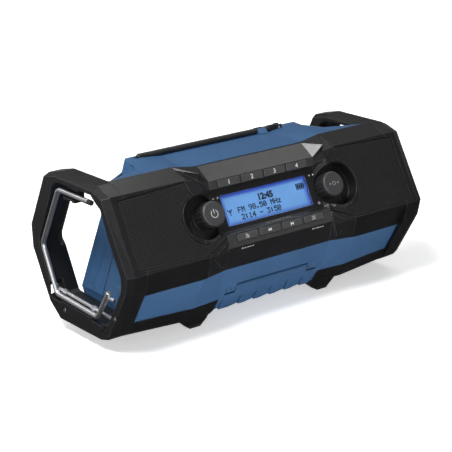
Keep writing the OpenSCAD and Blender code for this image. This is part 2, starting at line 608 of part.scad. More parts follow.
module antenna_pin() {
    stand() color(STEEL) translate([ax, ay - 4.4, az]) rotate([-90, 0, 0]) cylinder(r = 1.5, h = 8.8, $fn = 32);
}
module antenna_clip() {
    stand() color(BLUE) difference() {
        // body with a sloping nose toward the field
        yz([[15, 192.2], [16.75, 192.2], [16.9, 191.2], [29.4, 191.2], [29.4, 197], [28.9, 197.6], [21.3, 198], [20.4, 197.6]], 58.8, 70.4);
        translate([50, ay, az]) rotate([0, 90, 0]) cylinder(r = ar + 0.3, h = 30, $fn = 48);
        translate([50, ay - ar - 0.3, az]) cube([30, 2 * ar + 0.6, 10]);
    }
}

// ---------------------------------------------------------------- side hook

module side_hook() {
    stand() color(STEEL) {
        on_hinge() translate([-5, 0, 0]) rotate([90, 0, 90]) wire(bend([for (p = HOOK) hloc(p)], 8), hr);
        // detent stud toward the front bar
        translate([hx - 5, -51.5, 70.2]) rotate([90, 0, 0]) cylinder(r = 2.2, h = 14.5, $fn = 32);
    }
}
module hook_tip() {
    stand() color(BLACK) on_hinge() translate([-5, 0, 0]) rotate([90, 0, 90]) {
        a = hloc(HOOK[0]);
        b = hloc(HOOK[1]);
        u = unit(b - a);
        translate([a[0], a[1], 0]) rotate([0, 0, atan2(u[1], u[0])]) rotate([0, 90, 0]) difference() {
            translate([0, 0, -6]) cylinder(r = hr, h = 5.95, $fn = 48);
            translate([0, 0, -2]) cylinder(r = 1, h = 10, $fn = 24);
        }
    }
}
module hook_hinge() {
    stand() color(STEEL) on_hinge() for (y = [-33, 29]) difference() {
        union() {
            translate([0, y, 0]) rotate([-90, 0, 0]) cylinder(r = 3.3, h = 6, $fn = 48);
            translate([0, y, 0]) rotate([0, 41.4, 0]) translate([-7, 0, -1.2]) cube([7, 6, 2.4]);
        }
        translate([0, y - 1, 0]) rotate([-90, 0, 0]) cylinder(r = 2.05, h = 8, $fn = 48);
        translate([-5, y - 1, -4.394]) rotate([-90, 0, 0]) cylinder(r = hr + 0.01, h = 8, $fn = 48);
    }
}
module hook_axle() {
    stand() color(STEEL) on_hinge() translate([0, -76, 0]) rotate([-90, 0, 0]) cylinder(r = 2, h = 133, $fn = 48);
}
module hook_clip() {
    stand() color(BLACK) difference() {
        union() {
            translate([-208.4, 0, 166.5]) cube([7.5, 24, 20]);
            translate([-214, 0, 165.5]) cube([10, 24, 3]);
        }
        translate([-230, 6, 160]) cube([21, 12, 6.5]);
    }
}

// ---------------------------------------------------------------- port door and connectors

DO = [[-75.4, 50.5], [-68.4, 40.6], [-57.2, 23.2], [-54.8, 24.6], [-65.6, 41.6], [-69.5, 46.5]];
module port_door() {
    stand() color(BLUE) difference() {
        union() {
            translate([-52.8, dy, dz]) rotate([0, 90, 0]) cylinder(r = 4, h = 105.6, $fn = 64);
            yz([[-75.1, 49.8], [-71.9, 42.6], [-58.0, 20.6], [-55.4, 22.2], [-68.9, 43.6], [-70, 46]], -52.8, 52.8);
            yz([[-71.5, 42], [-58.0, 20.6], [-55.4, 22.2], [-68.4, 42.8]], -67.2, 67.2);
            yz([[-60.6, 26], [-58.0, 20.6], [-55.4, 22.2], [-58.4, 27]], -67.2, 67.2);
        }
        // grip slots: scoops, deepest at the right, that run out at the lower edge
        for (i = [0:door_slots - 1]) translate([(i - (door_slots - 1) / 2) * 23 - 8, 0, 0])
            corners([[0, -58.4, 21.2], [0, -63, 18], [15, -67.6, 35.8], [15, -72, 34], [15, -62.6, 31.6], [15, -55.6, 20.4], [15, -66, 17], [15, -54.5, 17], [0, -56.5, 17]]);
        // pin bores
        both() translate([40, dy, dz]) rotate([0, 90, 0]) cylinder(r = 1.55, h = 20, $fn = 32);
    }
}
module door_pins() {
    stand() color(STEEL) both() translate([44, dy, dz]) rotate([0, 90, 0]) cylinder(r = 1.5, h = 20, $fn = 32);
}
module connector_block() {
    stand() color(DARK) difference() {
        translate([-43.7, -52.5, 25.8]) cube([87.4, 14, 17.9]);
        // aux socket
        translate([-28, -60, 34]) rotate([-90, 0, 0]) cylinder(r = 3.2, h = 16, $fn = 32);
        // charging socket
        translate([-6.5, -60, 30.5]) cube([13, 16, 6]);
        // low voltage inlet
        translate([28, -60, 34]) rotate([-90, 0, 0]) cylinder(r = 5, h = 20, $fn = 48);
    }
}
module dc_inlet() {
    stand() color(STEEL) translate([28, 0, 34]) {
        translate([0, -44, 0]) rotate([-90, 0, 0]) difference() {
            translate([0, 0, -8]) cylinder(r = 4.7, h = 11.5, $fn = 48);
            translate([0, 0, -9]) cylinder(r = 3.4, h = 11, $fn = 48);
        }
        translate([0, -51, 0]) rotate([-90, 0, 0]) cylinder(r = 1, h = 9.5, $fn = 24);
    }
}

// ---------------------------------------------------------------- skids and feet

// middle of each foot pad, front and rear
FOOT_Y = [-44.7, 26];
module skid_solid() {
    difference() {
        union() {
            // strip from the ring corner to the foot
            loft([[189.7, [[-62, 37.4], [-20, 37.4], [-20, 16], [-42, 16], [-58, 24.5]]],
                [116, [[-72, 37.4], [-20, 37.4], [-20, 15], [-50, 15], [-62, 20]]],
                [74, [[-68, 37.4], [-20, 37.4], [-20, 15], [-50, 15], [-58, 22]]]]);
            yz([[-21, 37.4], [44, 37.4], [38, 23], [34, 16], [-21, 16]], 74, 189.7);
            // feet, narrowing down to the pads
            for (y = FOOT_Y) hull() {
                translate([76.5, y - 6.2, 15]) cube([39.5, 14.8, 4]);
                translate([79.4, y - 6.1, 11.2]) cube([31.4, 13.4, 0.1]);
                translate([84.9, y - 6, 4.02 + pad_h]) cube([21, 12, 0.4]);
            }
        }
        // hollow underside
        yz([[-40, 34], [32, 34], [30, 10], [-36, 10]], 122, 178);
        for (y = FOOT_Y) for (x = [91, 100]) translate([x, y, 4]) cylinder(r = 1.5, h = pad_h + 4, $fn = 24);
    }
}
module skid_right() { stand() color(BLACK) difference() { skid_solid(); ring_bar_cut(); } }
module skid_left() { stand() color(BLACK) mirror([1, 0, 0]) difference() { skid_solid(); ring_bar_cut(); } }
// room for the bottom bar of the ring, behind the front corner
module ring_bar_cut() {
    yz([[-19.7, 0], [-19.7, 45], [60, 45], [60, 0]], 180.7, 200);
}
module rubber_feet() {
    stand() color([0.06, 0.06, 0.06]) both() for (y = FOOT_Y) {
        translate([0, y + 6, 4]) rotate([90, 0, 0]) linear_extrude(12) polygon([[88.5, 0], [102.9, 0], [102.9 + pad_h, pad_h], [88.5 - pad_h * 1.25, pad_h]]);
        for (x = [91, 100]) translate([x, y, 4.5]) cylinder(r = 1.45, h = pad_h + 2, $fn = 24);
    }
}

// ---------------------------------------------------------------- battery

module battery_bay() {
    stand() color(BLACK) difference() {
        union() {
            yz([[51.9, 46], [51.9, 160], [49.8, 160.5], [49.9, 162], [54.6, 162], [54.6, 46]], -44, 44);
            translate([-44, 54.6, 46]) cube([88, 14, 4]);
            // rails
            both() {
                translate([34, 54.6, 54]) cube([6, 9.2, 100]);
                translate([30.6, 60.6, 54]) cube([9.4, 3.2, 100]);
            }
        }
        translate([-18, 40, 68]) cube([36, 20, 30]);
    }
}
module battery_contacts() {
    stand() color([0.75, 0.6, 0.3]) for (x = [-12, -4, 4, 12]) translate([x - 0.6, 47, 70]) cube([1.2, 13, 26]);
}
module battery_pack() {
    stand() color([0.10, 0.12, 0.16]) difference() {
        union() {
            translate([-37, 64.4, 50.3]) cube([74, 32.4, 110]);
            // tongue between the rails
            translate([-33.5, 55.2, 50.3]) cube([67, 4.9, 104]);
            translate([-30.1, 55.2, 50.3]) cube([60.2, 10, 104]);
        }
        // contact slots
        for (x = [-12, -4, 4, 12]) translate([x - 1.2, 50, 40]) cube([2.4, 11, 62]);
        // latch pocket
        translate([-12.3, 80, 136.7]) cube([24.6, 30, 16.6]);
        // bevelled edges
        both() translate([37, 97, 0]) rotate([0, 0, 45]) translate([-5, -5, 40]) cube([10, 10, 130]);
        translate([-50, 97, 160.6]) rotate([45, 0, 0]) translate([0, -4, -4]) cube([100, 8, 8]);
    }
}
module battery_latch() {
    stand() color([0.55, 0.08, 0.08]) {
        translate([-12, 86, 137]) cube([24, 11.6, 16]);
        for (k = [0:2]) translate([-9, 97.5, 140 + k * 4]) cube([18, 0.6, 1.6]);
    }
}

front_shell();
rear_shell();
top_cover();
end_ring_left();
end_ring_right();
front_frame_left();
front_frame_right();
speaker_grille_left();
speaker_grille_right();
control_panel();
lcd_window();
lcd_module();
preset_button_1();
preset_button_2();
preset_button_3();
preset_button_4();
function_button_1();
function_button_2();
function_button_3();
function_button_4();
volume_knob();
tuning_knob();
volume_cap();
tuning_cap();
knob_washers();
encoder_left();
encoder_right();
main_board();
display_board();
speaker_basket_left();
speaker_basket_right();
speaker_cone_left();
speaker_cone_right();
speaker_magnet_left();
speaker_magnet_right();
antenna_rod();
antenna_knuckle();
antenna_pin();
antenna_clip();
side_hook();
hook_tip();
hook_hinge();
hook_axle();
hook_clip();
port_door();
door_pins();
connector_block();
dc_inlet();
skid_left();
skid_right();
rubber_feet();
battery_bay();
battery_contacts();
battery_pack();
battery_latch();
case_screws();
ring_screws();
shell_seal();
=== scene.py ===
import bpy
import json
import math
from mathutils import Matrix, Vector
from mathutils.geometry import delaunay_2d_cdt

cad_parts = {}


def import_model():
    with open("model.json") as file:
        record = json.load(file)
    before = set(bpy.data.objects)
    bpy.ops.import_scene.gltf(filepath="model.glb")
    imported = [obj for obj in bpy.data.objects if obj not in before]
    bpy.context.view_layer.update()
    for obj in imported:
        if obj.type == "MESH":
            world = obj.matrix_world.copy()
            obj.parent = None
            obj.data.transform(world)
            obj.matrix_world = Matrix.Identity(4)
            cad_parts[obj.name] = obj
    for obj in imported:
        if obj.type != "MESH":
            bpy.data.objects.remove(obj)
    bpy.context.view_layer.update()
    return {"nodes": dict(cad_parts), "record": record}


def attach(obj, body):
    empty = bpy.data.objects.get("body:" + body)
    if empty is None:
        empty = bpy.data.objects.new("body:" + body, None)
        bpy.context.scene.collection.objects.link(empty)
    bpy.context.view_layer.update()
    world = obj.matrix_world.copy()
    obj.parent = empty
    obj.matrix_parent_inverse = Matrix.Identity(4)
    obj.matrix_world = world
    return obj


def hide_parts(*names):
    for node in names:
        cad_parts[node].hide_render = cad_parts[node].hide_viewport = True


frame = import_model()
N = frame["nodes"]
scene = bpy.context.scene
MM = 0.001
DATUM = 4.0          # the drawing's heights are this much above the floor's


def world(x, y, z):
    """A point of the drawing, in millimetres, as the frame's metres."""
    return Vector((x * MM, y * MM, (z - DATUM) * MM))


def face_frame(x, y, z, tilt):
    """Frame lying on a face that leans back by tilt: local z points out of it. Millimetres in, metres out."""
    t = math.radians(tilt)
    m = Matrix(((1, 0, 0), (0, math.sin(t), -math.cos(t)), (0, math.cos(t), math.sin(t)))).to_4x4()
    return Matrix.Translation(world(x, y, z)) @ m @ Matrix.Scale(MM, 4)


M_TILT = math.degrees(math.atan(42.1 / 79))
ON_M = face_frame(0, -101.6, 104.5, M_TILT)
ON_K = face_frame(0, -66, 137.2, 27.1)
KNOB_X = 87.3
ON_CAP_L = face_frame(-KNOB_X, -66, 137.2, 27.1)
ON_CAP_R = face_frame(KNOB_X, -66, 137.2, 27.1)
ON_PRE = [face_frame((i - 1.5) * 32.9, -61.15, 170.7, 16.8) for i in range(4)]
ON_FUN = [face_frame((i - 1.5) * 32.4, -91.75, 114.3, 17.0) for i in range(4)]

# ------------------------------------------------------------------ materials


def nodes_of(name):
    m = bpy.data.materials.new(name)
    m.use_nodes = True
    t = m.node_tree
    t.nodes.clear()
    out = t.nodes.new("ShaderNodeOutputMaterial")
    b = t.nodes.new("ShaderNodeBsdfPrincipled")
    t.links.new(b.outputs[0], out.inputs[0])
    return m, t, b


def add(t, kind, **kw):
    n = t.nodes.new(kind)
    for k, v in kw.items():
        setattr(n, k, v)
    return n


def noise(t, vec, scale, detail=3.0, rough=0.55):
    n = add(t, "ShaderNodeTexNoise")
    n.inputs["Scale"].default_value = scale
    n.inputs["Detail"].default_value = detail
    n.inputs["Roughness"].default_value = rough
    t.links.new(vec, n.inputs["Vector"])
    return n


def ramp(t, fac, lo, hi, a, b):
    r = add(t, "ShaderNodeMapRange")
    r.inputs["From Min"].default_value = lo
    r.inputs["From Max"].default_value = hi
    r.inputs["To Min"].default_value = a
    r.inputs["To Max"].default_value = b
    t.links.new(fac, r.inputs["Value"])
    return r.outputs["Result"]


def mixc(t, fac, a, b):
    m = add(t, "ShaderNodeMix", data_type="RGBA")
    for sock, v in ((m.inputs["Factor"], fac), (m.inputs["A"], a), (m.inputs["B"], b)):
        if hasattr(v, "is_output"):
            t.links.new(v, sock)
        elif isinstance(v, float):
            sock.default_value = v
        else:
            sock.default_value = (*v, 1.0)
    return m.outputs["Result"]


def scaled(c, k):
    return tuple(min(1.0, x * k) for x in c)


def plastic(name, base, rough=0.42, grain=1100.0, grain_h=0.00006, edge_r=0.0007, edge_highlight=0.35, spec=0.5, cloud=0.16, coat=0.0, edge_highlight_lift=0.035):
    """Moulded plastic: spark-eroded grain, slow colour drift, faint handling marks, softened edges with a painted
    highlight along them.
    """
    m, t, b = nodes_of(name)
    tc = add(t, "ShaderNodeTexCoord").outputs["Object"]
    big = noise(t, tc, 22.0, 4.0)
    mid = noise(t, tc, 160.0, 3.0)
    fine = noise(t, tc, grain, 2.0, 0.5)
    pit = add(t, "ShaderNodeTexVoronoi", feature="F1")
    pit.inputs["Scale"].default_value = grain * 0.55
    t.links.new(tc, pit.inputs["Vector"])
    bev = add(t, "ShaderNodeBevel", samples=4)
    bev.inputs["Radius"].default_value = edge_r
    geo = add(t, "ShaderNodeNewGeometry")
    dot = add(t, "ShaderNodeVectorMath", operation="DOT_PRODUCT")
    t.links.new(bev.outputs[0], dot.inputs[0])
    t.links.new(geo.outputs["Normal"], dot.inputs[1])
    edge = ramp(t, dot.outputs["Value"], 0.995, 0.90, 0.0, 1.0)
    broken = ramp(t, mid.outputs["Fac"], 0.35, 0.65, 0.25, 1.0)
    em = add(t, "ShaderNodeMath", operation="MULTIPLY")
    t.links.new(edge, em.inputs[0])
    t.links.new(broken, em.inputs[1])
    edge_highlight_mask = add(t, "ShaderNodeMath", operation="MULTIPLY")
    edge_highlight_mask.inputs[1].default_value = edge_highlight
    t.links.new(em.outputs[0], edge_highlight_mask.inputs[0])
    drift = ramp(t, big.outputs["Fac"], 0.3, 0.7, 0.0, 1.0)
    body = mixc(t, drift, scaled(base, 1 - cloud), scaled(base, 1 + cloud))
    speck = ramp(t, fine.outputs["Fac"], 0.3, 0.7, 0.0, 0.22)
    body = mixc(t, speck, body, scaled(base, 1.5))
    # painted highlight: the masked edges are brightened toward 1.6 times the base plus a lift, as if catching
    # light; concave edges get it too
    highlight_colour = tuple(x * 1.6 + edge_highlight_lift for x in base)
    body = mixc(t, edge_highlight_mask.outputs[0], body, highlight_colour)
    t.links.new(body, b.inputs["Base Color"])
    rg = ramp(t, mid.outputs["Fac"], 0.3, 0.7, rough - 0.015, rough + 0.03)
    t.links.new(rg, b.inputs["Roughness"])
    hh = add(t, "ShaderNodeMath", operation="ADD")
    t.links.new(fine.outputs["Fac"], hh.inputs[0])
    t.links.new(pit.outputs["Distance"], hh.inputs[1])
    bump = add(t, "ShaderNodeBump")
    bump.inputs["Strength"].default_value = 0.55
    bump.inputs["Distance"].default_value = grain_h
    t.links.new(hh.outputs[0], bump.inputs["Height"])
    t.links.new(bev.outputs[0], bump.inputs["Normal"])
    t.links.new(bump.outputs[0], b.inputs["Normal"])
    b.inputs["Specular IOR Level"].default_value = spec
    if coat:
        b.inputs["Coat Weight"].default_value = coat
        b.inputs["Coat Roughness"].default_value = 0.18
    return m


def metal(name, base, rough, stretch=(1, 1, 14), scale=500.0, spots=0.12, edge_r=0.0004, bump_s=0.25, spread=0.17):
    """Plated or brushed metal: drawn streaks, cloudy roughness, a few dull spots."""
    m, t, b = nodes_of(name)
    tc = add(t, "ShaderNodeTexCoord").outputs["Object"]
    mp = add(t, "ShaderNodeMapping")
    mp.inputs["Scale"].default_value = stretch
    t.links.new(tc, mp.inputs["Vector"])
    streak = noise(t, mp.outputs[0], scale, 3.0)
    cloud = noise(t, tc, 60.0, 3.0)
    bev = add(t, "ShaderNodeBevel", samples=4)
    bev.inputs["Radius"].default_value = edge_r
    body = mixc(t, ramp(t, cloud.outputs["Fac"], 0.35, 0.7, 0.0, 1.0), base, scaled(base, 1 - spots))
    t.links.new(body, b.inputs["Base Color"])
    b.inputs["Metallic"].default_value = 1.0
    t.links.new(ramp(t, streak.outputs["Fac"], 0.3, 0.7, max(0.03, rough - spread * 0.4), rough + spread * 0.6), b.inputs["Roughness"])
    bump = add(t, "ShaderNodeBump")
    bump.inputs["Strength"].default_value = bump_s
    bump.inputs["Distance"].default_value = 0.00003
    t.links.new(streak.outputs["Fac"], bump.inputs["Height"])
    t.links.new(bev.outputs[0], bump.inputs["Normal"])
    t.links.new(bump.outputs[0], b.inputs["Normal"])
    return m


def rubber(name, base, rough=0.72, grain=700.0):
    m, t, b = nodes_of(name)
    tc = add(t, "ShaderNodeTexCoord").outputs["Object"]
    big = noise(t, tc, 45.0, 4.0)
    fine = noise(t, tc, grain, 4.0, 0.65)
    body = mixc(t, ramp(t, big.outputs["Fac"], 0.3, 0.7, 0.0, 1.0), scaled(base, 0.8), tuple(x * 1.3 + 0.003 for x in base))
    t.links.new(body, b.inputs["Base Color"])
    t.links.new(ramp(t, fine.outputs["Fac"], 0.3, 0.7, rough - 0.1, rough + 0.1), b.inputs["Roughness"])
    bev = add(t, "ShaderNodeBevel", samples=4)
    bev.inputs["Radius"].default_value = 0.0006
    bump = add(t, "ShaderNodeBump")
    bump.inputs["Strength"].default_value = 0.5
    bump.inputs["Distance"].default_value = 0.00012
    t.links.new(fine.outputs["Fac"], bump.inputs["Height"])
    t.links.new(bev.outputs[0], bump.inputs["Normal"])
    t.links.new(bump.outputs[0], b.inputs["Normal"])
    return m


def board(name):
    """Solder-masked circuit board with faint tracks."""
    m, t, b = nodes_of(name)
    tc = add(t, "ShaderNodeTexCoord").outputs["Object"]
    v = add(t, "ShaderNodeTexVoronoi", feature="DISTANCE_TO_EDGE", distance="MANHATTAN") if False else add(t, "ShaderNodeTexBrick")
    v.inputs["Scale"].default_value = 180.0
    v.inputs["Mortar Size"].default_value = 0.03
    v.inputs["Color1"].default_value = (0.010, 0.085, 0.035, 1)
    v.inputs["Color2"].default_value = (0.014, 0.11, 0.045, 1)
    v.inputs["Mortar"].default_value = (0.05, 0.22, 0.09, 1)
    t.links.new(tc, v.inputs["Vector"])
    n = noise(t, tc, 300.0)
    t.links.new(mixc(t, ramp(t, n.outputs["Fac"], 0.4, 0.7, 0.0, 0.3), v.outputs["Color"], (0.03, 0.16, 0.07)), b.inputs["Base Color"])
    t.links.new(ramp(t, n.outputs["Fac"], 0.3, 0.7, 0.3, 0.5), b.inputs["Roughness"])
    return m


def paper(name, base):
    m, t, b = nodes_of(name)
    tc = add(t, "ShaderNodeTexCoord").outputs["Object"]
    n = noise(t, tc, 900.0, 6.0, 0.7)
    t.links.new(mixc(t, n.outputs["Fac"], scaled(base, 0.6), tuple(x * 1.8 + 0.3 * base[0] for x in base)), b.inputs["Base Color"])
    b.inputs["Roughness"].default_value = 0.85
    bump = add(t, "ShaderNodeBump")
    bump.inputs["Strength"].default_value = 0.6
    bump.inputs["Distance"].default_value = 0.00015
    t.links.new(n.outputs["Fac"], bump.inputs["Height"])
    t.links.new(bump.outputs[0], b.inputs["Normal"])
    return m


def glass(name):
    """Thin hard-coated display window: clear, with a faint dust film."""
    m, t, b = nodes_of(name)
    tc = add(t, "ShaderNodeTexCoord").outputs["Object"]
    n = noise(t, tc, 90.0, 5.0)
    t.links.new(ramp(t, n.outputs["Fac"], 0.35, 0.75, 0.03, 0.10), b.inputs["Roughness"])
    b.inputs["Base Color"].default_value = (0.96, 0.98, 1.0, 1)
    b.inputs["Transmission Weight"].default_value = 1.0
    b.inputs["IOR"].default_value = 1.25
    return m


def lcd(name):
    """Backlit display: light blue field with a slow mottle; the deeper blue toward the frame is a painted shadow
    of the window frame.
    """
    m, t, b = nodes_of(name)
    tc = add(t, "ShaderNodeTexCoord").outputs["Object"]
    inv = ON_K.inverted()
    sub = add(t, "ShaderNodeVectorMath", operation="SUBTRACT")
    sub.inputs[1].default_value = ON_K.translation
    t.links.new(tc, sub.inputs[0])
    loc = []
    for i in range(2):
        d = add(t, "ShaderNodeVectorMath", operation="DOT_PRODUCT")
        d.inputs[1].default_value = tuple(inv[i][j] for j in range(3))
        t.links.new(sub.outputs[0], d.inputs[0])
        loc.append(d.outputs["Value"])
    x, y = loc
    ax = add(t, "ShaderNodeMath", operation="ABSOLUTE")
    t.links.new(x, ax.inputs[0])
    # painted shadow of the window frame: the field darkens to deep blue toward the sides, top and bottom edges
    side = ramp(t, ax.outputs[0], 55.5, 61.5, 0.0, 1.0)
    top = ramp(t, y, 14.2, 17.6, 0.0, 1.0)
    low = ramp(t, y, -11.5, -16.2, 0.0, 0.75)
    e1 = add(t, "ShaderNodeMath", operation="MAXIMUM")
    t.links.new(side, e1.inputs[0])
    t.links.new(top, e1.inputs[1])
    frame_shadow_mask = add(t, "ShaderNodeMath", operation="MAXIMUM")
    t.links.new(e1.outputs[0], frame_shadow_mask.inputs[0])
    t.links.new(low, frame_shadow_mask.inputs[1])
    n = noise(t, tc, 60.0, 3.0)
    field = mixc(t, ramp(t, n.outputs["Fac"], 0.3, 0.7, 0.0, 1.0), (0.124, 0.290, 0.570), (0.140, 0.318, 0.610))
    col = mixc(t, frame_shadow_mask.outputs[0], field, (0.030, 0.070, 0.420))
    dark = add(t, "ShaderNodeRGB")
    dark.outputs[0].default_value = (0.02, 0.05, 0.16, 1)
    t.links.new(mixc(t, 0.25, col, (0.02, 0.05, 0.16)), b.inputs["Base Color"])
    t.nodes.remove(dark)
    t.links.new(col, b.inputs["Emission Color"])
    b.inputs["Emission Strength"].default_value = 0.56
    b.inputs["Roughness"].default_value = 0.35
    return m


def ink(name, base, rough=0.5, glow=0.0):
    """Pad-printed or liquid-crystal marks, slightly uneven."""
    m, t, b = nodes_of(name)
    tc = add(t, "ShaderNodeTexCoord").outputs["Object"]
    n = noise(t, tc, 1500.0, 3.0)
    c = mixc(t, ramp(t, n.outputs["Fac"], 0.3, 0.7, 0.0, 1.0), scaled(base, 0.86), base)
    t.links.new(c, b.inputs["Base Color"])
    b.inputs["Roughness"].default_value = rough
    if glow:
        t.links.new(c, b.inputs["Emission Color"])
        b.inputs["Emission Strength"].default_value = glow
    return m


# the per-plastic edge brightening set below is a painted highlight along the edges
MAT = {
    "blue_plastic": plastic("blue_plastic", (0.028, 0.079, 0.172), rough=0.38, edge_highlight=0.60, cloud=0.06, edge_r=0.0009, spec=0.38, edge_highlight_lift=0.05),
    "black_plastic": plastic("black_plastic", (0.0058, 0.0059, 0.0067), rough=0.38, edge_highlight=0.9, edge_r=0.0012, spec=0.40, edge_highlight_lift=0.05),
    "panel_plastic": plastic("panel_plastic", (0.0085, 0.0086, 0.0096), rough=0.30, edge_highlight=0.95, grain=1400.0, edge_r=0.0009, spec=0.5, edge_highlight_lift=0.06),
    "button_plastic": plastic("button_plastic", (0.030, 0.0305, 0.032), rough=0.38, edge_highlight=1.0, edge_r=0.0010, edge_highlight_lift=0.10),
    "knob_plastic": plastic("knob_plastic", (0.011, 0.011, 0.012), rough=0.42, edge_highlight=0.45, edge_r=0.0004),
    "cap_plastic": plastic("cap_plastic", (0.028, 0.0285, 0.030), rough=0.46, edge_highlight=0.6, edge_r=0.0012),
    "latch_red": plastic("latch_red", (0.36, 0.020, 0.018), rough=0.42),
    "grille_mesh": plastic("grille_mesh", (0.0098, 0.0100, 0.0108), rough=0.48, grain=1800.0, edge_r=0.0002, edge_highlight=0.2, spec=0.4),
    "basket_plastic": plastic("basket_plastic", (0.02, 0.02, 0.022), rough=0.5),
    "bright_steel": metal("bright_steel", (0.80, 0.80, 0.82), 0.36, stretch=(1, 1, 1), scale=260.0, bump_s=0.04, spread=0.06),
    "encoder_metal": metal("encoder_metal", (0.5, 0.5, 0.51), 0.38),
    "contact_brass": metal("contact_brass", (0.76, 0.56, 0.26), 0.30),
    "antenna_rubber": rubber("antenna_rubber", (0.011, 0.0108, 0.0105), 0.5),
    "soft_rubber": rubber("soft_rubber", (0.012, 0.012, 0.012)),
    "board_green": board("board_green"),
    "cone_paper": paper("cone_paper", (0.02, 0.02, 0.02)),
    "window_glass": glass("window_glass"),
    "lcd_screen": lcd("lcd_screen"),
}
GRILLE_CLOTH = paper("grille_cloth", (0.0006, 0.0006, 0.0007))
WHITE_INK = ink("white_ink", (0.55, 0.55, 0.55))
GREY_INK = ink("grey_ink", (0.30, 0.30, 0.30))
LCD_INK = ink("lcd_ink", (0.008, 0.014, 0.045), 0.4)

slot_of = {s["node"]: s["material_slot"] for s in frame["record"]["subparts"]}
for name, o in N.items():
    o.data.materials.clear()
    o.data.materials.append(GRILLE_CLOTH if name.startswith("speaker_grille") else MAT[slot_of[name]])

# ------------------------------------------------------------------ mesh helpers


def piece(name, verts, faces, mat, body, matrix=None, smooth=False, replaces=()):
    me = bpy.data.meshes.new(name)
    if matrix is not None:
        verts = [matrix @ Vector(v) for v in verts]
    me.from_pydata([tuple(v) for v in verts], [], faces)
    me.validate()
    me.materials.append(mat)
    if smooth:
        me.polygons.foreach_set("use_smooth", [True] * len(me.polygons))
    me.update()
    o = bpy.data.objects.new(name, me)
    scene.collection.objects.link(o)
    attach(o, body)
    if replaces:
        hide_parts(*replaces)
    return o


class Marks:
    """Thin raised prints collected in one mesh: ribbons, filled outlines and boxes, each a closed solid."""

    def __init__(self):
        self.v, self.f = [], []

    def prism(self, pts, z0, z1, m=None):
        n, k = len(pts), len(self.v)
        area = sum(pts[i][0] * pts[(i + 1) % n][1] - pts[(i + 1) % n][0] * pts[i][1] for i in range(n))
        if area < 0:
            pts = pts[::-1]
        new = [Vector((p[0], p[1], z0)) for p in pts] + [Vector((p[0], p[1], z1)) for p in pts]
        self.v += [m @ p for p in new] if m is not None else new
        self.f.append([k + i for i in range(n)][::-1])
        self.f.append([k + n + i for i in range(n)])
        for i in range(n):
            j = (i + 1) % n
            self.f.append([k + i, k + j, k + n + j, k + n + i])

    def box(self, x0, y0, x1, y1, z0, z1, m=None):
        self.prism([(x0, y0), (x1, y0), (x1, y1), (x0, y1)], z0, z1, m)

    def line(self, pts, w, z0, z1, m=None, closed=False):
        """A ribbon of width w along pts, mitred."""
        n, k = len(pts), len(self.v)
        P = [Vector(p) for p in pts]
        left, right = [], []
        for i in range(n):
            a = P[i - 1] if (i > 0 or closed) else None
            c = P[(i + 1) % n] if (i < n - 1 or closed) else None
            if a is None:
                d = (c - P[i]).normalized()
            elif c is None:
                d = (P[i] - a).normalized()
            else:
                d = ((P[i] - a).normalized() + (c - P[i]).normalized())
                d = d.normalized() if d.length > 1e-6 else (P[i] - a).normalized()
            q = Vector((-d.y, d.x))
            s = 1.0
            if a is not None and c is not None:
                e = (P[i] - a).normalized()
                s = 1 / max(0.5, abs(q.dot(Vector((-e.y, e.x)))))
            left.append(P[i] + q * w / 2 * s)
            right.append(P[i] - q * w / 2 * s)
        rings = []
        for i in range(n):
            r = [(right[i], z0), (left[i], z0), (left[i], z1), (right[i], z1)]
            rings.append([len(self.v) + j for j in range(4)])
            for p, z in r:
                q = Vector((p.x, p.y, z))
                self.v.append(m @ q if m is not None else q)
        for i in range(n if closed else n - 1):
            a, b = rings[i], rings[(i + 1) % n]
            for j in range(4):
                self.f.append([a[j], a[(j + 1) % 4], b[(j + 1) % 4], b[j]])
        if not closed:
            self.f.append(rings[0][::-1])
            self.f.append(rings[-1])

    def arc(self, cx, cy, r, a0, a1, w, z0, z1, m=None, n=24):
        pts = [(cx + r * math.cos(math.radians(a0 + (a1 - a0) * i / n)), cy + r * math.sin(math.radians(a0 + (a1 - a0) * i / n))) for i in range(n + 1)]
        if abs(a1 - a0) >= 360:
            self.line(pts[:-1], w, z0, z1, m, closed=True)
        else:
            self.line(pts, w, z0, z1, m)

    def disc(self, cx, cy, r, z0, z1, m=None, n=20):
        self.prism([(cx + r * math.cos(2 * math.pi * i / n), cy + r * math.sin(2 * math.pi * i / n)) for i in range(n)], z0, z1, m)

    def make(self, name, mat, body, matrix=None):
        return piece(name, self.v, self.f, mat, body, matrix)


def digit_shape(ch, size, z0, z1, bold=0.012):
    """One numeral of the built-in font as a closed mesh, centred, in millimetres."""
    cu = bpy.data.curves.new("numeral", "FONT")
    cu.body = ch
    cu.size = size
    cu.extrude = (z1 - z0) / 2
    cu.resolution_u = 6
    cu.offset = bold * size
    ob = bpy.data.objects.new("numeral", cu)
    scene.collection.objects.link(ob)
    bpy.context.view_layer.update()
    me = bpy.data.meshes.new_from_object(ob.evaluated_get(bpy.context.evaluated_depsgraph_get()))
    vs = [v.co.copy() for v in me.vertices]
    fs = [list(p.vertices) for p in me.polygons]
    bpy.data.objects.remove(ob)
    bpy.data.curves.remove(cu)
    bpy.data.meshes.remove(me)
    lo = Vector((min(v.x for v in vs), min(v.y for v in vs), 0))
    hi = Vector((max(v.x for v in vs), max(v.y for v in vs), 0))
    mid = (lo + hi) / 2
    vs = [Vector((v.x - mid.x, v.y - mid.y, v.z + (z0 + z1) / 2)) for v in vs]
    return vs, fs


# ------------------------------------------------------------------ speaker mesh

GR = [(198.5, 5), (198.5, 84.2), (109.5, 88), (107.5, 78), (104, 70), (76, 44), (77.5, 15.5), (109, 0.8)]
WELL = (KNOB_X + 10.6, 42.9)
WELL_R = 28.6


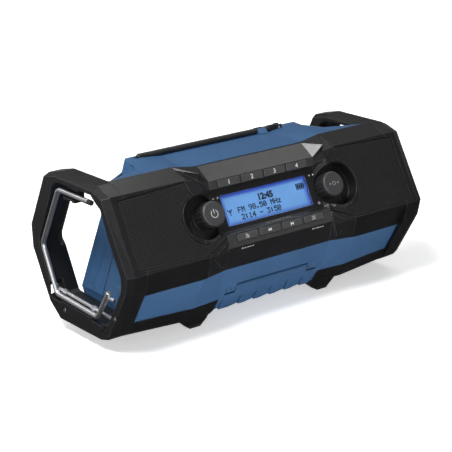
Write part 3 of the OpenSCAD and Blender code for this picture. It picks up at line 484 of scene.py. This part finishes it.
def inside(pt, poly):
    x, y = pt
    c = False
    n = len(poly)
    for i in range(n):
        (x0, y0), (x1, y1) = poly[i], poly[(i + 1) % n]
        if (y0 > y) != (y1 > y) and x < (x1 - x0) * (y - y0) / (y1 - y0) + x0:
            c = not c
    return c


def seg_dist(pt, a, b):
    ax, ay = a
    bx, by = b
    dx, dy = bx - ax, by - ay
    s = max(0.0, min(1.0, ((pt[0] - ax) * dx + (pt[1] - ay) * dy) / (dx * dx + dy * dy)))
    return math.hypot(pt[0] - ax - s * dx, pt[1] - ay - s * dy)


def grille_outline(inset):
    """Outline of the visible mesh: the seat polygon less the knob well, pulled in by inset."""
    cx, cy = WELL
    r = WELL_R + inset
    # right of the well the outline runs along the seat, and back round the well's arc
    xr, yt, yb = 198.5 - inset, 84.2 - inset, 5 + inset
    top_l = (109.5 + inset * 0.6, 88 - inset)
    low_l = (109 + inset * 0.4, 0.8 + inset * 1.05)
    up_a = math.degrees(math.asin((74.5 - cy) / r)) if r > 31 else None
    # where the short upper-left edge of the seat meets the well's circle
    a, b = (109.5 + inset, 88.0), (107.5 + inset, 78.0)
    pts = [(xr, yb), (xr, yt + (0.0)), top_l]
    best = None
    for k in range(400):
        s = k / 100
        p = (a[0] + (b[0] - a[0]) * s, a[1] + (b[1] - a[1]) * s)
        if math.hypot(p[0] - cx, p[1] - cy) <= r:
            best = p
            break
    ang0 = math.atan2(best[1] - cy, best[0] - cx)
    pts.append(best)
    # lower edge from (77.5, 15.5) to (109, 0.8)
    a, b = (109.0, 0.8 + inset * 1.1), (77.5, 15.5 + inset * 1.1)
    best2 = None
    for k in range(400):
        s = k / 400
        p = (a[0] + (b[0] - a[0]) * s, a[1] + (b[1] - a[1]) * s)
        if math.hypot(p[0] - cx, p[1] - cy) <= r:
            best2 = p
            break
    if best2 is None:
        best2 = b
    ang1 = math.atan2(best2[1] - cy, best2[0] - cx)
    steps = 26
    for k in range(1, steps):
        w = ang0 + (ang1 - ang0) * k / steps
        pts.append((cx + r * math.cos(w), cy + r * math.sin(w)))
    pts.append(best2)
    pts.append(low_l)
    return pts


def grille_sheet(name, mirror):
    inset, pitch, hole, sides = 0.8, 3.0, 1.06, 8
    z_lo, z_hi = -1.49, -1.05
    outline = grille_outline(inset)
    centres = {}
    row_h = pitch * math.sqrt(3) / 2
    row = 0
    y = 3.0
    while y < 88:
        x = 74.0 + (pitch / 2 if row % 2 else 0)
        col = 0
        while x < 199:
            p = (x, y)
            if inside(p, outline) and min(seg_dist(p, outline[i], outline[(i + 1) % len(outline)]) for i in range(len(outline))) > hole + 0.45:
                centres[(row, col)] = p
            x += pitch
            col += 1
        y += row_h
        row += 1
    verts = [Vector(p) for p in outline]
    edges = [(i, (i + 1) % len(outline)) for i in range(len(outline))]
    for p in centres.values():
        k = len(verts)
        for j in range(sides):
            w = 2 * math.pi * (j + 0.5) / sides
            verts.append(Vector((p[0] + hole * math.cos(w), p[1] + hole * math.sin(w))))
        edges += [(k + j, k + (j + 1) % sides) for j in range(sides)]
    out = delaunay_2d_cdt(verts, edges, [], 0, 1e-6)
    V, F = out[0], out[2]
    apo = hole * math.cos(math.pi / sides)
    keep = []
    for f in F:
        cx = sum(V[i].x for i in f) / len(f)
        cy = sum(V[i].y for i in f) / len(f)
        if not inside((cx, cy), outline):
            continue
        r = round((cy - 3.0) / row_h)
        bad = False
        for rr in (r - 1, r, r + 1):
            x0 = 74.0 + (pitch / 2 if rr % 2 else 0)
            c = round((cx - x0) / pitch)
            p = centres.get((rr, c))
            if p is None:
                continue
            dx, dy = cx - p[0], cy - p[1]
            w = math.atan2(dy, dx)
            off = (w / (2 * math.pi / sides)) % 1.0
            lim = apo / math.cos((off - 0.5 - 0.0) * 2 * math.pi / sides - 0.0) if False else apo / max(0.5, math.cos(((off + 0.5) % 1.0 - 0.5) * 2 * math.pi / sides))
            if math.hypot(dx, dy) < lim:
                bad = True
                break
        if not bad:
            keep.append(list(f))
    sx = -1 if mirror else 1
    n = len(V)
    vs = [Vector((sx * p.x, p.y, z_hi)) for p in V] + [Vector((sx * p.x, p.y, z_lo)) for p in V]
    fs = []
    count = {}
    for f in keep:
        a, b, c = V[f[0]], V[f[1]], V[f[2]]
        ccw = (b.x - a.x) * (c.y - a.y) - (b.y - a.y) * (c.x - a.x) > 0
        if not ccw:
            f = f[::-1]
        if mirror:
            f = f[::-1]
        fs.append(f)
        fs.append([i + n for i in f[::-1]])
        for i in range(len(f)):
            e = (f[i], f[(i + 1) % len(f)])
            count[e] = count.get(e, 0) + 1
    for (a, b) in list(count):
        if (b, a) not in count:
            fs.append([b, a, a + n, b + n])
    used = sorted({i for f in fs for i in f})
    new = {k: i for i, k in enumerate(used)}
    vs = [vs[i] for i in used]
    fs = [[new[i] for i in f] for f in fs]
    return piece(name, vs, fs, MAT["grille_mesh"], "radio_body", ON_M)


grille_sheet("grille_sheet_right", False)
grille_sheet("grille_sheet_left", True)

# ------------------------------------------------------------------ hook rod

HOOK = [(-26, 172.83), (36.8, 173.3), (79.3, 101), (77.3, 93.5), (54.9, 45.1), (-30.2, 40.9), (-57.1, 77.1)]


def bend(P, R, k=10):
    out = [Vector(P[0])]
    for i in range(1, len(P) - 1):
        a, b, c = Vector(P[i - 1]), Vector(P[i]), Vector(P[i + 1])
        u, v = (b - a).normalized(), (c - b).normalized()
        t = math.atan2(u.x * v.y - u.y * v.x, u.dot(v))
        s = 1 if t > 0 else -1
        d = R * math.tan(abs(t) / 2)
        o = b - u * d + s * R * Vector((-u.y, u.x))
        q = -s * R * Vector((-u.y, u.x))
        for j in range(k + 1):
            w = t * j / k
            out.append(o + Vector((q.x * math.cos(w) - q.y * math.sin(w), q.x * math.sin(w) + q.y * math.cos(w))))
    out.append(Vector(P[-1]))
    return out


def tube(name, path, x, r, body, mat, replaces=(), sides=32, extra=None):
    """Smooth rod along a path in the (y, z) plane at x, with a small chamfer at the last end."""
    V, F = [], []
    m = len(path)
    for i, p in enumerate(path):
        if i == 0:
            d = (path[1] - p).normalized()
        elif i == m - 1:
            d = (p - path[i - 1]).normalized()
        else:
            d = ((p - path[i - 1]).normalized() + (path[i + 1] - p).normalized()).normalized()
        q = Vector((-d.y, d.x))
        rings = [(p, r)]
        if i == m - 1:
            rings = [(p - d * 0.7, r), (p, r - 0.7)]
        for c, rr in rings:
            for k in range(sides):
                w = 2 * math.pi * k / sides
                V.append(world(x + rr * math.sin(w), c.x + q.x * rr * math.cos(w), c.y + q.y * rr * math.cos(w)))
    rows = len(V) // sides
    for i in range(rows - 1):
        for k in range(sides):
            a, b = i * sides + k, i * sides + (k + 1) % sides
            F.append([a, b, b + sides, a + sides])
    F.append(list(range(sides))[::-1])
    F.append([(rows - 1) * sides + k for k in range(sides)])
    if extra:
        extra(V, F)
    o = piece(name, V, F, mat, body, None, True, replaces)
    return o


def stud(V, F):
    # detent stud on the upturned leg, toward the front bar, with a rounded nose
    k, n = len(V), 28
    prof = [(0, -51.5), (2.2, -51.5), (2.2, -65.2), (1.9, -65.75), (1.2, -66.0), (0, -66.0)]
    for r, y in prof[1:-1]:
        for j in range(n):
            w = 2 * math.pi * j / n
            V.append(world(-212 + r * math.cos(w), y, 70.2 + r * math.sin(w)))
    for i in range(3):
        for j in range(n):
            a, b = k + i * n + j, k + i * n + (j + 1) % n
            F.append([a, b, b + n, a + n])
    F.append([k + j for j in range(n)][::-1])
    F.append([k + 3 * n + j for j in range(n)])


rod = tube("hook_rod", bend(HOOK, 8.0, 12), -212.0, 3.0, "hook", MAT["bright_steel"], ("side_hook",), 36, stud)


def recalc(o):
    import bmesh
    bm = bmesh.new()
    bm.from_mesh(o.data)
    bmesh.ops.recalc_face_normals(bm, faces=bm.faces)
    bm.to_mesh(o.data)
    bm.free()


def sharp_by_angle(o, deg=35):
    """Smooth shading, with edges over the angle kept sharp."""
    import bmesh
    bm = bmesh.new()
    bm.from_mesh(o.data)
    for f in bm.faces:
        f.smooth = True
    for e in bm.edges:
        if len(e.link_faces) == 2 and e.link_faces[0].normal.angle(e.link_faces[1].normal, 0) > math.radians(deg):
            e.smooth = False
    bm.to_mesh(o.data)
    bm.free()


recalc(rod)
sharp_by_angle(rod)

# ------------------------------------------------------------------ display content

GLYPH = {
    "0": "01110 10001 10011 10101 11001 10001 01110", "1": "00100 01100 00100 00100 00100 00100 01110",
    "2": "01110 10001 00001 00010 00100 01000 11111", "3": "11111 00010 00100 00010 00001 10001 01110",
    "4": "00010 00110 01010 10010 11111 00010 00010", "5": "11111 10000 11110 00001 00001 10001 01110",
    "6": "00110 01000 10000 11110 10001 10001 01110", "7": "11111 00001 00010 00100 01000 01000 01000",
    "8": "01110 10001 10001 01110 10001 10001 01110", "9": "01110 10001 10001 01111 00001 00010 01100",
    ".": "00000 00000 00000 00000 00000 01100 01100", "F": "11111 10000 10000 11110 10000 10000 10000",
    "M": "10001 11011 10101 10101 10001 10001 10001", "H": "10001 10001 10001 11111 10001 10001 10001",
    "z": "00000 00000 11111 00010 00100 01000 11111", " ": "00000 00000 00000 00000 00000 00000 00000",
    "-": "00000 00000 00000 11111 00000 00000 00000", ":": "00000 01100 01100 00000 01100 01100 00000",
}
Z0, Z1 = 0.71, 0.80
lc = Marks()


def lcd_line(text, x0, base, px=0.875, py=0.886):
    for c, ch in enumerate(text):
        rows = GLYPH[ch].split()
        for r, bits in enumerate(rows):
            run = None
            for k in range(6):
                on = k < 5 and bits[k] == "1"
                if on and run is None:
                    run = k
                if not on and run is not None:
                    xa = x0 + (c * 6 + run) * px
                    xb = x0 + (c * 6 + k) * px + 0.06
                    ya = base + (6 - r) * py
                    lc.box(xa - 0.16, ya - 0.16, xb + 0.16, ya + py + 0.20, Z0, Z1)
                    run = None


lcd_line("FM 98.50 MHz", -41.8, -3.9)
lcd_line("2:14 - 3:50", -39.4, -12.6)


vs, fs = digit_shape("12:45", 10.2, Z0, Z1, 0.055)
k0 = len(lc.v)
lc.v += [v + Vector((1.6, 8.2, 0)) for v in vs]
lc.f += [[k0 + i for i in f] for f in fs]
# battery gauge
lc.line([(47.4, 5.4), (57.8, 5.4), (57.8, 11.6), (47.4, 11.6)], 1.0, Z0, Z1, closed=True)
lc.box(58.3, 7.2, 59.8, 9.9, Z0, Z1)
for i in range(3):
    lc.box(48.3 + i * 3.0, 6.3, 50.9 + i * 3.0, 10.7, Z0, Z1)
# aerial mark
lc.box(-53.4, -5.6, -52.2, 1.6, Z0, Z1)
lc.line([(-56.0, 1.9), (-52.8, -1.8), (-49.6, 1.9)], 1.1, Z0, Z1)
lc.make("display_characters", LCD_INK, "radio_body", ON_K)

# ------------------------------------------------------------------ printed marks

for i in range(4):
    vs, fs = digit_shape(str(i + 1), 7.2, 1.2, 1.28)
    piece("preset_numeral_%d" % (i + 1), vs, fs, WHITE_INK, "preset_%d" % (i + 1), ON_PRE[i])

P0, P1 = 1.2, 1.28
for i in range(4):
    k = Marks()
    if i == 0:      # pairing: two arcs and a dot
        k.disc(-1.6, -1.6, 0.55, P0, P1)
        k.arc(-1.6, -1.6, 1.9, -20, 110, 0.5, P0, P1)
        k.arc(-1.6, -1.6, 3.4, -20, 110, 0.5, P0, P1)
    elif i == 1:    # back
        k.prism([(2.1, -2.0), (2.1, 2.0), (-0.8, 0)], P0, P1)
        k.prism([(-0.9, -2.0), (-0.9, 2.0), (-2.6, 0)], P0, P1)
    elif i == 2:    # forward
        k.prism([(-2.1, -2.0), (-2.1, 2.0), (0.8, 0)], P0, P1)
        k.prism([(0.9, -2.0), (0.9, 2.0), (2.6, 0)], P0, P1)
    else:           # three sliders
        for j in range(3):
            yy = 1.7 - j * 1.7
            k.box(-2.6, yy - 0.17, 2.6, yy + 0.17, P0, P1)
            k.disc((-1.2, 1.2, -0.3)[j], yy, 0.62, P0, P1)
    k.make("function_icon_%d" % (i + 1), WHITE_INK, "function_%d" % (i + 1), ON_FUN[i])

# power mark on the left cap, selection mark on the right cap
k = Marks()
k.arc(0, -0.3, 4.4, 125, 415, 0.62, 21.0, 21.07, n=40)
k.box(-0.32, -0.2, 0.32, 5.2, 21.0, 21.07)
k.make("power_mark", WHITE_INK, "volume_push", ON_CAP_L)
k = Marks()
k.arc(0, 0, 2.1, 0, 360, 0.5, 21.0, 21.07, n=32)
k.prism([(-7.2, 0), (-5.2, 1.3), (-5.2, -1.3)], 21.0, 21.07)
k.prism([(7.2, 0), (5.2, 1.3), (5.2, -1.3)], 21.0, 21.07)
k.make("select_mark", GREY_INK, "tuning_push", ON_CAP_R)

# small marks beside the controls
k = Marks()
A, B = 3.82, 3.90
k.box(-73.0, 17.6, -70.2, 18.2, A, B)
k.box(-66.6, 17.6, -63.8, 18.2, A, B)
k.box(-65.5, 16.5, -64.9, 19.3, A, B)
k.prism([(67.6, 17.7), (69.8, 18.9), (69.8, 16.5)], A, B)
k.prism([(76.0, 17.7), (73.8, 18.9), (73.8, 16.5)], A, B)
k.arc(70.6, -16.6, 1.25, 0, 360, 0.5, A, B, n=24)
k.make("panel_marks", WHITE_INK, "radio_body", ON_K)
k = Marks()
k.line([(-13.5, -85.4), (-13.5, -83.2), (-8.0, -83.2)], 0.6, 0.0, 0.07)
k.line([(20.5, -85.4), (20.5, -83.2), (15.0, -83.2)], 0.6, 0.0, 0.07)
k.prism([(-5.6, -83.2), (-3.8, -82.3), (-3.8, -84.1)], 0.0, 0.07)
k.prism([(12.6, -83.2), (10.8, -82.3), (10.8, -84.1)], 0.0, 0.07)
k.box(-1.6, -83.5, 8.6, -82.9, 0.0, 0.07)
k.make("ledge_marks", WHITE_INK, "radio_body", Matrix.Translation(world(0, 0, 119.6)) @ Matrix.Scale(MM, 4))
k = Marks()
ON_LOW = face_frame(0, -87.4, 79, -math.degrees(math.atan(7.1 / 26)))
for x0 in (-57.5, 45.5):
    k.arc(x0 + 1.2, 23.3, 0.9, 0, 360, 0.45, 0.0, 0.07, n=24)
    for i in range(4):
        k.box(x0 + 3.9 + i * 3.6, 22.95, x0 + 6.5 + i * 3.6, 23.65, 0.0, 0.07)
k.make("lower_marks", WHITE_INK, "radio_body", ON_LOW)

# ------------------------------------------------------------------ camera, light, floor

cam_data = bpy.data.cameras.new("camera")
cam = bpy.data.objects.new("camera", cam_data)
scene.collection.objects.link(cam)
R0 = Vector((0.79515656, -0.60559132, -0.03087909))
R1 = Vector((-0.20819477, -0.22480228, -0.95189080))
R2 = Vector((0.56957838, 0.76332238, -0.30483744))
cam.matrix_world = Matrix((
    (R0.x, -R1.x, -R2.x, -0.99072),
    (R0.y, -R1.y, -R2.y, -1.31573),
    (R0.z, -R1.z, -R2.z, 0.61653),
    (0, 0, 0, 1)))
cam_data.sensor_width = 36
cam_data.lens = 115.73
cam_data.clip_start = 0.05
cam_data.clip_end = 60
scene.camera = cam

floor_mesh = bpy.data.meshes.new("floor")
floor_mesh.from_pydata([(-14, -14, 0), (14, -14, 0), (14, 14, 0), (-14, 14, 0)], [], [[0, 1, 2, 3]])
floor = bpy.data.objects.new("floor", floor_mesh)
scene.collection.objects.link(floor)
fm, ft, fb = nodes_of("floor_paper")
tcf = add(ft, "ShaderNodeTexCoord").outputs["Object"]
nf = noise(ft, tcf, 3.0)
ft.links.new(mixc(ft, ramp(ft, nf.outputs["Fac"], 0.3, 0.7, 0.0, 1.0), (0.90, 0.90, 0.90), (0.92, 0.92, 0.92)), fb.inputs["Base Color"])
fb.inputs["Roughness"].default_value = 0.9
fb.inputs["Specular IOR Level"].default_value = 0.1
fb.inputs["Emission Color"].default_value = (1, 1, 1, 1)
away = add(ft, "ShaderNodeVectorMath")
away.operation = "LENGTH"
ft.links.new(tcf, away.inputs[0])
ft.links.new(ramp(ft, away.outputs["Value"], 0.6, 2.6, 0.50, 0.95), fb.inputs["Emission Strength"])
floor_mesh.materials.append(fm)
floor.visible_glossy = False

w = bpy.data.worlds.new("studio")
scene.world = w
w.use_nodes = True
wt = w.node_tree
wt.nodes.clear()
wo = wt.nodes.new("ShaderNodeOutputWorld")
bg_l = wt.nodes.new("ShaderNodeBackground")
bg_c = wt.nodes.new("ShaderNodeBackground")
mx = wt.nodes.new("ShaderNodeMixShader")
lp = wt.nodes.new("ShaderNodeLightPath")
tcw = wt.nodes.new("ShaderNodeTexCoord")
sx = wt.nodes.new("ShaderNodeSeparateXYZ")
wt.links.new(tcw.outputs["Generated"], sx.inputs[0])
low_edge = ramp(wt, sx.outputs["Z"], -0.30, -0.12, 0.0, 1.0)
top_edge = ramp(wt, sx.outputs["Z"], 0.02, 0.12, 1.0, 0.0)
band = wt.nodes.new("ShaderNodeMath")
band.operation = "MULTIPLY"
wt.links.new(low_edge, band.inputs[0])
wt.links.new(top_edge, band.inputs[1])
back = ramp(wt, sx.outputs["Y"], -0.5, 0.3, 0.20, 0.52)
band2 = wt.nodes.new("ShaderNodeMath")
band2.operation = "MULTIPLY"
wt.links.new(band.outputs[0], band2.inputs[0])
wt.links.new(back, band2.inputs[1])
dome = ramp(wt, sx.outputs["Z"], -0.1, 1.0, 0.05, 0.20)
ml = wt.nodes.new("ShaderNodeMath")
ml.operation = "ADD"
wt.links.new(band2.outputs[0], ml.inputs[0])
wt.links.new(dome, ml.inputs[1])
wt.links.new(ml.outputs[0], bg_l.inputs["Strength"])
bg_l.inputs["Color"].default_value = (1.0, 1.0, 1.0, 1)
bg_c.inputs["Color"].default_value = (1, 1, 1, 1)
bg_c.inputs["Strength"].default_value = 1.0
wt.links.new(lp.outputs["Is Camera Ray"], mx.inputs[0])
wt.links.new(bg_l.outputs[0], mx.inputs[1])
wt.links.new(bg_c.outputs[0], mx.inputs[2])
wt.links.new(mx.outputs[0], wo.inputs[0])


def area(name, direction, dist, size, watts, color=(1, 1, 1)):
    d = bpy.data.lights.new(name, "AREA")
    d.shape = "RECTANGLE"
    d.size, d.size_y = size
    d.energy = watts
    d.color = color
    o = bpy.data.objects.new(name, d)
    scene.collection.objects.link(o)
    n = Vector(direction).normalized()
    o.location = Vector((0, -0.03, 0.1)) + n * dist
    o.rotation_mode = "QUATERNION"
    o.rotation_quaternion = (-n).to_track_quat("-Z", "Y")
    return o


area("key_softbox", (-0.47, -0.15, 0.87), 1.9, (0.6, 0.6), 42)
area("top_softbox", (0.57, -0.02, 0.82), 2.1, (0.9, 0.6), 4.2)
area("front_fill", (-0.45, -0.88, 0.12), 2.6, (2.2, 0.6), 18)
area("right_fill", (0.58, -0.80, 0.15), 2.6, (0.7, 0.4), 2.1)
area("ear_softbox", (0.29, 0.47, 0.83), 2.0, (0.35, 0.35), 4.5)
area("side_fill", (-0.90, -0.35, 0.28), 2.6, (1.3, 1.3), 10)
area("rim_softbox", (-0.30, 0.76, 0.56), 2.3, (0.9, 0.9), 5)

scene.view_settings.view_transform = "Standard"
scene.view_settings.look = "None"
scene.view_settings.exposure = 0
scene.view_settings.gamma = 1
